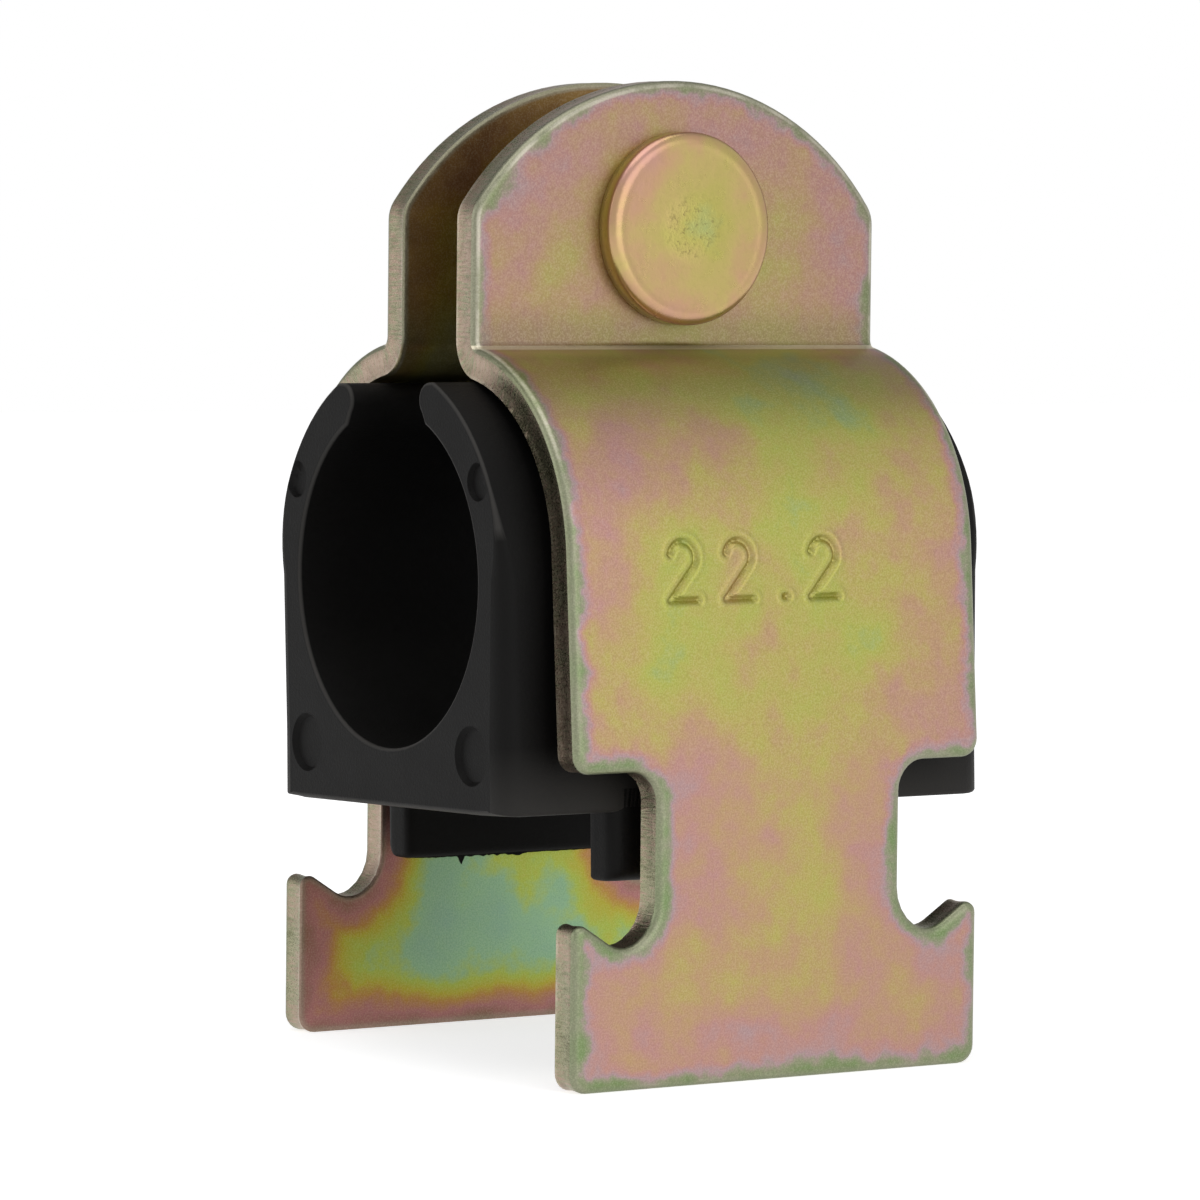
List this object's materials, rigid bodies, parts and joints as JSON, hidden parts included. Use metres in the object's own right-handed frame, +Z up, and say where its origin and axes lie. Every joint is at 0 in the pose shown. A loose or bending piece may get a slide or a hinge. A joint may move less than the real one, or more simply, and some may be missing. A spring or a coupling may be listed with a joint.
{
  "type": "cushioned strut clamp",
  "caption": "Two-piece steel pipe clamp with a rubber cushion: hooked feet grip the lips of strut channel, a bolt and lock nut draw the tabs together.",
  "frame": {"origin": "bottom centre of the bounding box, on the plane of the two feet, midway between the two strap halves", "axes": "+Z up from the feet to the tabs, +Y along the tube, +X from the far strap towards the strap under the bolt head"},
  "size_m": [0.0362, 0.038, 0.0645],
  "materials": {
    "strap_plating": "satin yellow chromate over zinc",
    "bolt_plating": "semi-bright yellow chromate over zinc",
    "cushion_rubber": "matte, fine grain",
    "nylon": "natural nylon"
  },
  "bodies": {
    "clamp_body": {"near_strap": "strap_plating", "cushion": "cushion_rubber", "bolt": "bolt_plating"},
    "far_half": {"far_strap": "strap_plating"},
    "nut": {"lock_nut": "bolt_plating", "nylon_ring": "nylon"}
  },
  "joints": [
    {"name": "far_half_slide", "type": "slide", "parent": "clamp_body", "child": "far_half", "axis": [1, 0, 0], "range_m": [-0.00254, 0.00032]},
    {"name": "nut_spin", "type": "hinge", "parent": "far_half", "child": "nut", "pos_m": [-0.0055, 0, 0.0548], "axis": [1, 0, 0], "range_deg": [-721, 91]}
  ],
  "couplings": [
    {"joint": "nut_spin", "follows": "far_half_slide", "rad_per_m": 4947.4}
  ]
}
